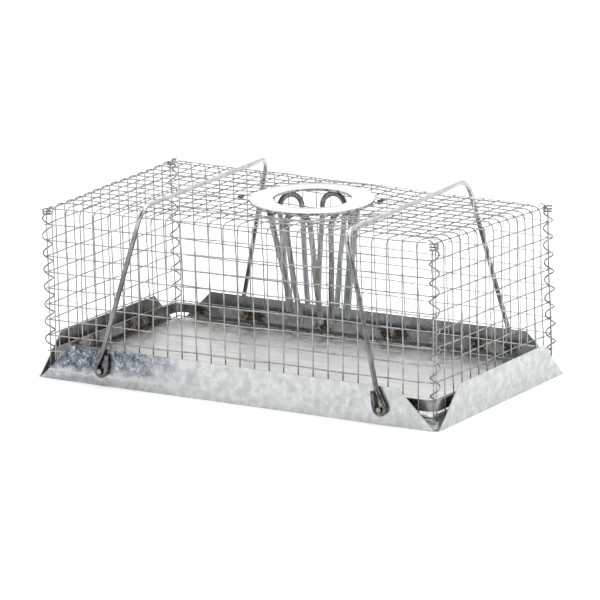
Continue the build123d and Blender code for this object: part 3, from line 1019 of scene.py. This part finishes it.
def bail_half():
    """Half a bail, upright: from its cut end round the eye, up the leg and along half the bar."""
    cut_end = (-BAIL_LEG_OFFSET, 0.0, EYE_TOP)
    eye_left = (-EYE_HALF_WIDTH, 0.0, EYE_LIFT)
    eye_right = (EYE_HALF_WIDTH, 0.0, EYE_LIFT)
    neck = (BAIL_LEG_OFFSET, 0.0, EYE_NECK)
    shoulder = (BAIL_LEG_OFFSET, 0.0, BAIL_REACH - BAIL_BEND)
    corner = (BAIL_LEG_OFFSET, 0.0, BAIL_REACH)
    bar_start = (BAIL_LEG_OFFSET, BAIL_BEND, BAIL_REACH)
    bar_middle = (BAIL_LEG_OFFSET, BAIL_LEG_Y, BAIL_REACH)
    half = [Vector(cut_end)] + easy_curve(cut_end, (-0.2, 0, -1), eye_left, (0, 0, -1))
    for step in range(1, EYE_STEPS):
        angle = pi * step / EYE_STEPS
        half.append(Vector((-EYE_HALF_WIDTH * cos(angle), 0.0, EYE_LIFT - EYE_HALF_WIDTH * sin(angle))))
    half += [Vector(eye_right)] + easy_curve(eye_right, (0, 0, 1), neck, (0, 0, 1))
    half += line(neck, shoulder)[1:]
    half += quarter(shoulder, corner, bar_start)
    half += line(bar_start, bar_middle)[1:]
    return half


def build_bail(name, node_name, body, stud_x, front_bend, back_bend, material):
    """A wire bail with an eye at each foot, and each leg bent over its own distance."""
    outward = 1 if stud_x > 0 else -1
    turn = Matrix.Rotation(-bail_lean(), 3, "Y")
    path = []
    for y_side in (-1, 1):
        placed = []
        for point in bail_half():
            leaned = turn @ Vector((point.x, 0.0, point.z))
            share = max(0.0, leaned.z - EYE_NECK) / (BAR_Z - STUD_Z - EYE_NECK)
            y = y_side * (BAIL_LEG_Y - point.y)
            backward = 0.5 + 0.5 * y / BAIL_LEG_Y
            push = front_bend[0] + (back_bend[0] - front_bend[0]) * backward
            lift = front_bend[1] + (back_bend[1] - front_bend[1]) * backward
            straight = Vector((stud_x + outward * leaned.x, y, STUD_Z + leaned.z))
            moved = straight + share * Vector((push, 0.0, lift))
            kink = noise.noise_vector(moved / 0.05)
            placed.append(moved + BAIL_KINK * share * kink)
        path += placed if y_side < 0 else placed[::-1][1:]
    wires = Wires(name, sides=THICK_WIRE_SIDES)
    wires.add(path, BAIL_WIRE)
    wires.finish(material, "bail_wire", body, node_name)


# ---------------------------------------------------------------- the scene

add_camera()
add_world()
add_floor()
add_area_light("overhead", (0.1, 0.2, 1.9), (0, 0, 0.05), (2.2, 1.6), 14.0)
add_area_light("right", (2.2, -0.4, 0.9), (0, 0, 0.05), (1.6, 1.2), 8.0)
add_area_light("front_left", (-1.3, -1.9, 1.1), (0, 0, 0.05), (0.9, 0.9), 5.5)
bpy.context.scene.view_settings.view_transform = "Standard"

mesh_zinc = wire_material("mesh_zinc", 0.24, 0.46, 0.30, darker_below=0.02)
lacing_zinc = wire_material("lacing_zinc", 0.13, 0.36, 0.32)
bail_zinc = bail_material()
stud_zinc = wire_material("stud_zinc", 0.14, 0.32, 0.35, warm=0.03)
tie_steel = wire_material("tie_steel", 0.07, 0.22, 0.45, warm=0.03)

paint(nodes["base_plate"], sheet_material())
paint(nodes["bottom_band"], band_material())
paint(nodes["pivot_studs"], stud_zinc)

build_top_mesh(mesh_zinc)
build_side_mesh("front_wires", "front_mesh", -1, mesh_zinc)
build_side_mesh("back_wires", "back_mesh", 1, back_wire_material())
build_end_mesh("left_end_wires", "left_end_mesh", -1, mesh_zinc)
build_end_mesh("right_end_wires", "right_end_mesh", 1, mesh_zinc)

build_lacing("front_right_spiral", "front_right_lacing", 1, -1, LEFT_LOBE, 0.0238, lacing_zinc)
build_lacing("front_left_spiral", "front_left_lacing", -1, -1, LEFT_LOBE, 0.0301, lacing_zinc)
build_lacing("back_right_spiral", "back_right_lacing", 1, 1, RIGHT_LOBE, 0.0409, lacing_zinc)
build_lacing("back_left_spiral", "back_left_lacing", -1, 1, LEFT_LOBE, 0.0340, lacing_zinc)

build_ring(ring_material())
funnel_steel = funnel_material()
for number, (loop_angle, loop_foot) in enumerate(zip(LOOP_ANGLES, LOOP_FOOT_RADII), start=1):
    build_loop(number, loop_angle, loop_foot, funnel_steel)
build_ties(tie_steel)

build_bail(
    "left_bail_wire", "left_bail", "left_bail_body",
    LEFT_STUD_X, LEFT_FRONT_BEND, LEFT_BACK_BEND, bail_zinc,
)
build_bail(
    "right_bail_wire", "right_bail", "right_bail_body",
    RIGHT_STUD_X, RIGHT_FRONT_BEND, RIGHT_BACK_BEND, bail_zinc,
)
